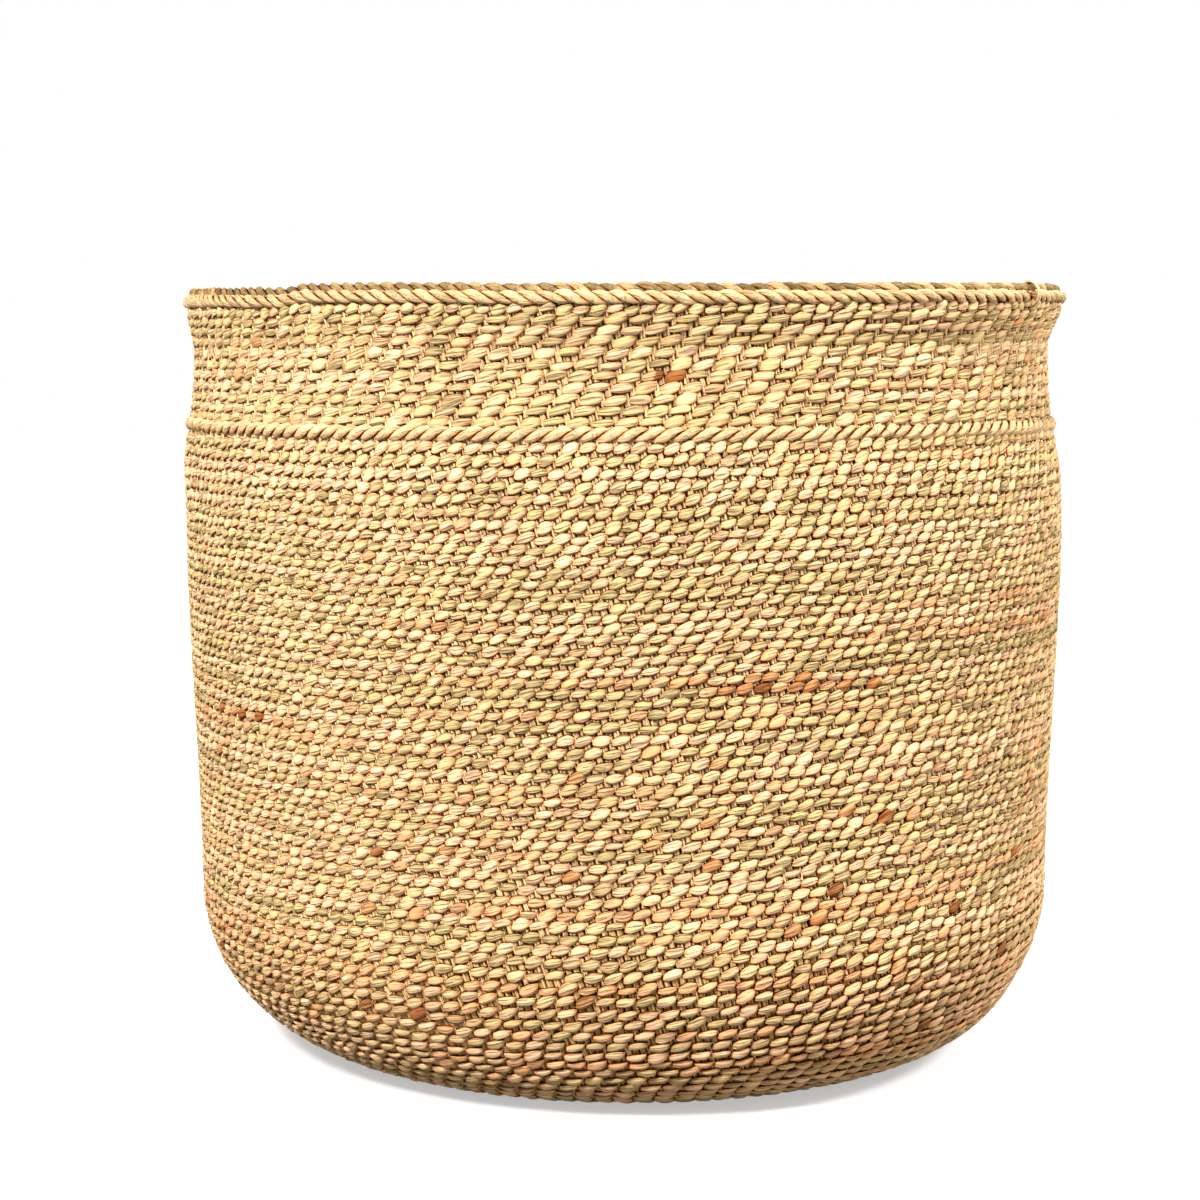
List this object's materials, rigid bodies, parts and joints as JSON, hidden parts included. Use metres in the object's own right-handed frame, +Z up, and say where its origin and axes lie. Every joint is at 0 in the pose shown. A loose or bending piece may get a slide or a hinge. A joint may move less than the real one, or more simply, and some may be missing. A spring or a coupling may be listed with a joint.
{
  "type": "iringa basket",
  "caption": "Round open-topped twined grass basket with a flat base, rounded heel, slightly swelling wall, raised rope below the mouth and a roped rim, for storage or as a plant pot cover",
  "frame": {"origin": "on the floor, under the middle of the basket", "axes": "+Z up through the mouth, -Y towards the front as pictured, +X to the right"},
  "size_m": [0.3598, 0.3598, 0.305],
  "materials": {
    "stakes": "dried grass stalks, dull, tan",
    "weft": "dried flattened grass strands, satin, straw with paler, pinkish, greenish and brown strands",
    "rope": "dried twisted grass strands, satin, pale straw"
  },
  "bodies": {
    "root": {"cross_stakes_lower": "stakes", "cross_stakes_upper": "stakes", "side_stakes_1": "stakes", "side_stakes_2": "stakes", "side_stakes_3": "stakes", "side_stakes_4": "stakes", "base_weft_1": "weft", "base_weft_2": "weft", "heel_weft_1": "weft", "heel_weft_2": "weft", "wall_weft_1": "weft", "wall_weft_2": "weft", "wall_weft_3": "weft", "wall_weft_4": "weft", "wall_weft_5": "weft", "wall_weft_6": "weft", "wale_rope": "rope", "collar_weft": "weft", "rim_rope": "rope", "rim_cap_rope": "rope", "rim_tie": "rope"}
  },
  "joints": []
}
